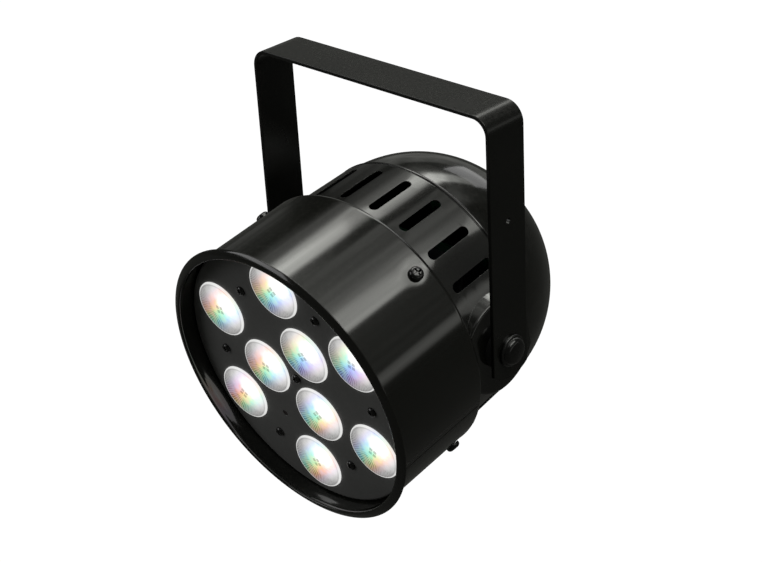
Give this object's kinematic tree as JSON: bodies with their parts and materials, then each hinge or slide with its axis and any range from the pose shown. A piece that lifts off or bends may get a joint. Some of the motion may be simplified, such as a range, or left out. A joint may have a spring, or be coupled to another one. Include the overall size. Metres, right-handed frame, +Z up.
{
  "type": "par can light",
  "caption": "Short round stage light on a U-shaped yoke: a clustered-lens front in a rolled-rim barrel, a slotted housing, a domed back with controls, and a tilt pivot in each leg.",
  "frame": {"origin": "middle of the top face of the yoke's bar; the tilt axis is 154.76 mm below it", "axes": "+X along the tilt axis, -Y the way the light points when level, +Z up the yoke's legs towards its bar"},
  "size_m": [0.204, 0.2107, 0.2662],
  "materials": {
    "yoke_paint": "semi-gloss black powder coat",
    "can_paint": "gloss black paint",
    "can_paint_rear": "gloss black paint",
    "can_paint_dome": "gloss black paint",
    "plate_paint": "matt dark grey paint",
    "panel_paint": "satin black paint",
    "lens": "clear moulded lens",
    "white_plastic": "moulded white",
    "emitter": "phosphor",
    "board_white": "white solder mask",
    "board_green": "green solder mask",
    "aluminium": "extruded",
    "zinc_steel": "zinc plated",
    "black_steel": "black oxide",
    "smoked_plastic": "smoked",
    "black_plastic": "moulded",
    "button_plastic": "moulded",
    "display": "display face",
    "component_plastic": "components",
    "socket_metal": "black die cast",
    "contact_brass": "plated contacts",
    "latch_plastic": "moulded grey",
    "inlet_plastic": "moulded",
    "fuse_glass": "glass tube",
    "cable": "cable sheath",
    "rubber": "rubber"
  },
  "bodies": {
    "yoke": {"yoke_bracket": "yoke_paint"},
    "fan": {"fan_rotor": "black_plastic"},
    "menu_key": {"menu_button": "button_plastic"},
    "down_key": {"down_button": "button_plastic"},
    "up_key": {"up_button": "button_plastic"},
    "enter_key": {"enter_button": "button_plastic"},
    "latch": {"data_out_latch": "latch_plastic"},
    "fuse_carrier": {"fuse_drawer": "inlet_plastic", "fuse": "fuse_glass"},
    "can": {"front_barrel": "can_paint", "vent_housing": "can_paint_rear", "rear_dome": "can_paint_dome", "front_plate": "plate_paint", "lens_holders": "white_plastic", "led_emitters": "emitter", "led_board": "board_white", "heat_sink": "aluminium", "sink_screws": "zinc_steel", "plate_posts": "zinc_steel", "plate_screws": "black_steel", "receiver_eye": "smoked_plastic", "fan_frame": "black_plastic", "fan_screws": "zinc_steel", "rear_panel": "panel_paint", "display_window": "smoked_plastic", "display_module": "display", "control_board": "board_green", "button_switches": "black_plastic", "control_standoffs": "zinc_steel", "power_standoffs": "zinc_steel", "power_board": "board_green", "power_board_parts": "component_plastic", "data_in_socket": "socket_metal", "data_in_pins": "contact_brass", "data_out_socket": "socket_metal", "socket_screws": "black_steel", "power_inlet": "inlet_plastic", "power_inlet_pins": "contact_brass", "panel_screws": "black_steel", "led_lead": "cable", "mains_lead": "cable", "barrel_screws": "black_steel", "pivot_bolts": "black_steel", "friction_washers": "rubber", "pivot_nuts": "zinc_steel", "lens_1": "lens", "lens_2": "lens", "lens_3": "lens", "lens_4": "lens", "lens_5": "lens", "lens_6": "lens", "lens_7": "lens", "lens_8": "lens", "lens_9": "lens"}
  },
  "joints": [
    {"name": "can_tilt", "type": "hinge", "parent": "yoke", "child": "can", "pos_m": [0, 0, -0.15476], "axis": [1, 0, 0], "range_deg": [-75.5, 236]},
    {"name": "fan_spin", "type": "hinge", "parent": "can", "child": "fan", "pos_m": [0, -0.02958, -0.15974], "axis": [0, 0.9861, 0.1661], "continuous": true},
    {"name": "menu_press", "type": "slide", "parent": "can", "child": "menu_key", "axis": [0, -0.9861, -0.1661], "range_m": [0, 0.0008]},
    {"name": "down_press", "type": "slide", "parent": "can", "child": "down_key", "axis": [0, -0.9861, -0.1661], "range_m": [0, 0.0008]},
    {"name": "up_press", "type": "slide", "parent": "can", "child": "up_key", "axis": [0, -0.9861, -0.1661], "range_m": [0, 0.0008]},
    {"name": "enter_press", "type": "slide", "parent": "can", "child": "enter_key", "axis": [0, -0.9861, -0.1661], "range_m": [0, 0.0008]},
    {"name": "latch_press", "type": "slide", "parent": "can", "child": "latch", "axis": [0, -0.9861, -0.1661], "range_m": [0, 0.0015]},
    {"name": "fuse_drawer_slide", "type": "slide", "parent": "can", "child": "fuse_carrier", "axis": [0, 0.9861, 0.1661], "range_m": [0, 0.012]}
  ]
}
